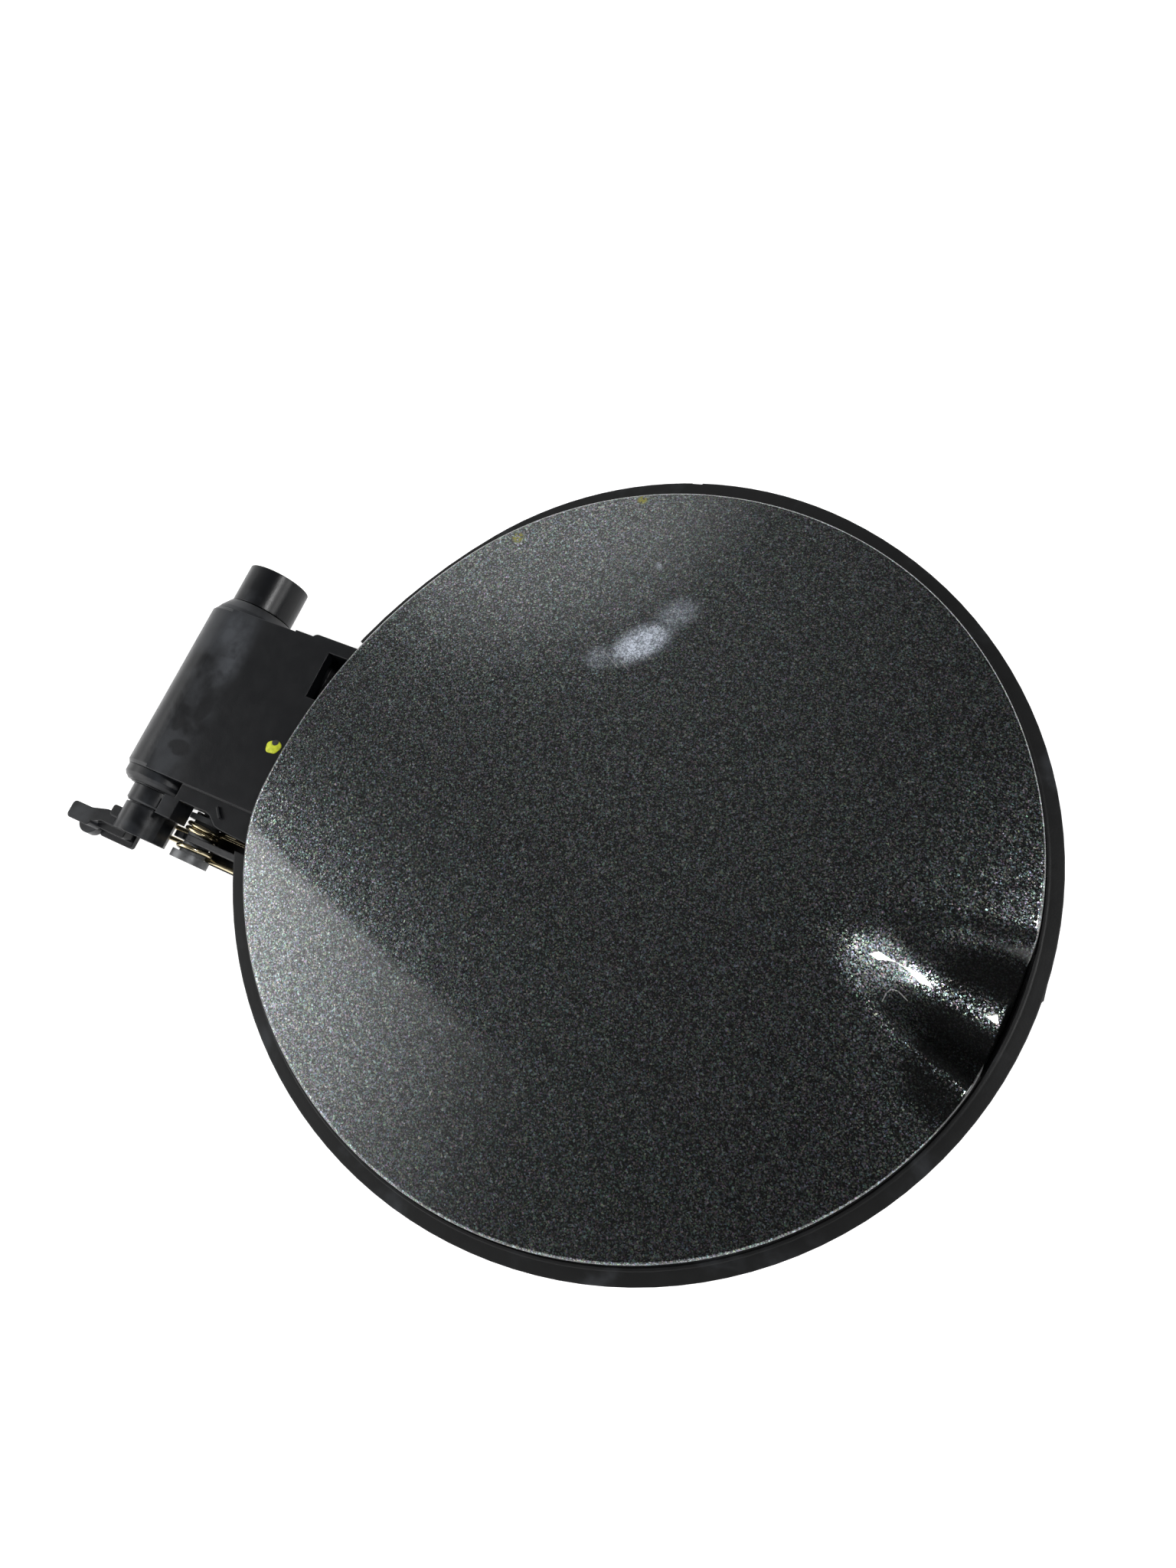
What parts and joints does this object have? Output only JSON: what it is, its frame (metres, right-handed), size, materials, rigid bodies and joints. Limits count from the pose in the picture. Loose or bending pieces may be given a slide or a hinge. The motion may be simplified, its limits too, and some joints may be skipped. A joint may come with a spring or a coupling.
{
  "type": "car_fuel_door",
  "caption": "Round car fuel door with a painted lid, pressed finger recess, black inner panel, barrel hinge on a crank shaft and a sprung detent",
  "frame": {"origin": "on the hinge axis, at the middle of the hinge barrel", "axes": "+X from the hinge to the lid, +Y along the hinge axis to the capped end, +Z towards the lid's outer side"},
  "size_m": [0.2269, 0.1778, 0.031],
  "materials": {
    "lid_paint": "glossy metallic clear coat",
    "panel_plastic": "moulded satin black",
    "hinge_plastic": "moulded satin black, dusty",
    "shaft_plastic": "moulded satin black",
    "bush_plastic": "smooth satin",
    "foam": "dull closed-cell foam",
    "stop_rubber": "dull",
    "spring_wire": "yellow zinc plated",
    "post_steel": "plain zinc plated, dull",
    "sleeve_plastic": "smooth grey",
    "clip_steel": "spring steel",
    "screw_steel": "dark plated",
    "insert_brass": "plain"
  },
  "bodies": {
    "pivot": {"crank_shaft": "shaft_plastic", "shaft_cap": "shaft_plastic", "shaft_clip": "clip_steel", "thrust_washer": "bush_plastic"},
    "door": {"outer_skin": "lid_paint", "skin_clips": "clip_steel", "bond_pads": "foam", "inner_panel": "panel_plastic", "panel_inserts": "insert_brass", "hinge_arm": "hinge_plastic", "arm_screws": "screw_steel", "upper_bush": "bush_plastic", "lower_bush": "bush_plastic", "spring_post": "post_steel", "coil_sleeves": "sleeve_plastic", "post_clip": "clip_steel", "detent_spring": "spring_wire", "latch_catch": "panel_plastic", "catch_screws": "screw_steel", "bump_stops": "stop_rubber"}
  },
  "joints": [
    {"name": "door_hinge", "type": "hinge", "parent": "pivot", "child": "door", "pos_m": [0, 0, 0], "axis": [0, -1, 0], "range_deg": [0, 95], "deforming": ["detent_spring"]}
  ]
}
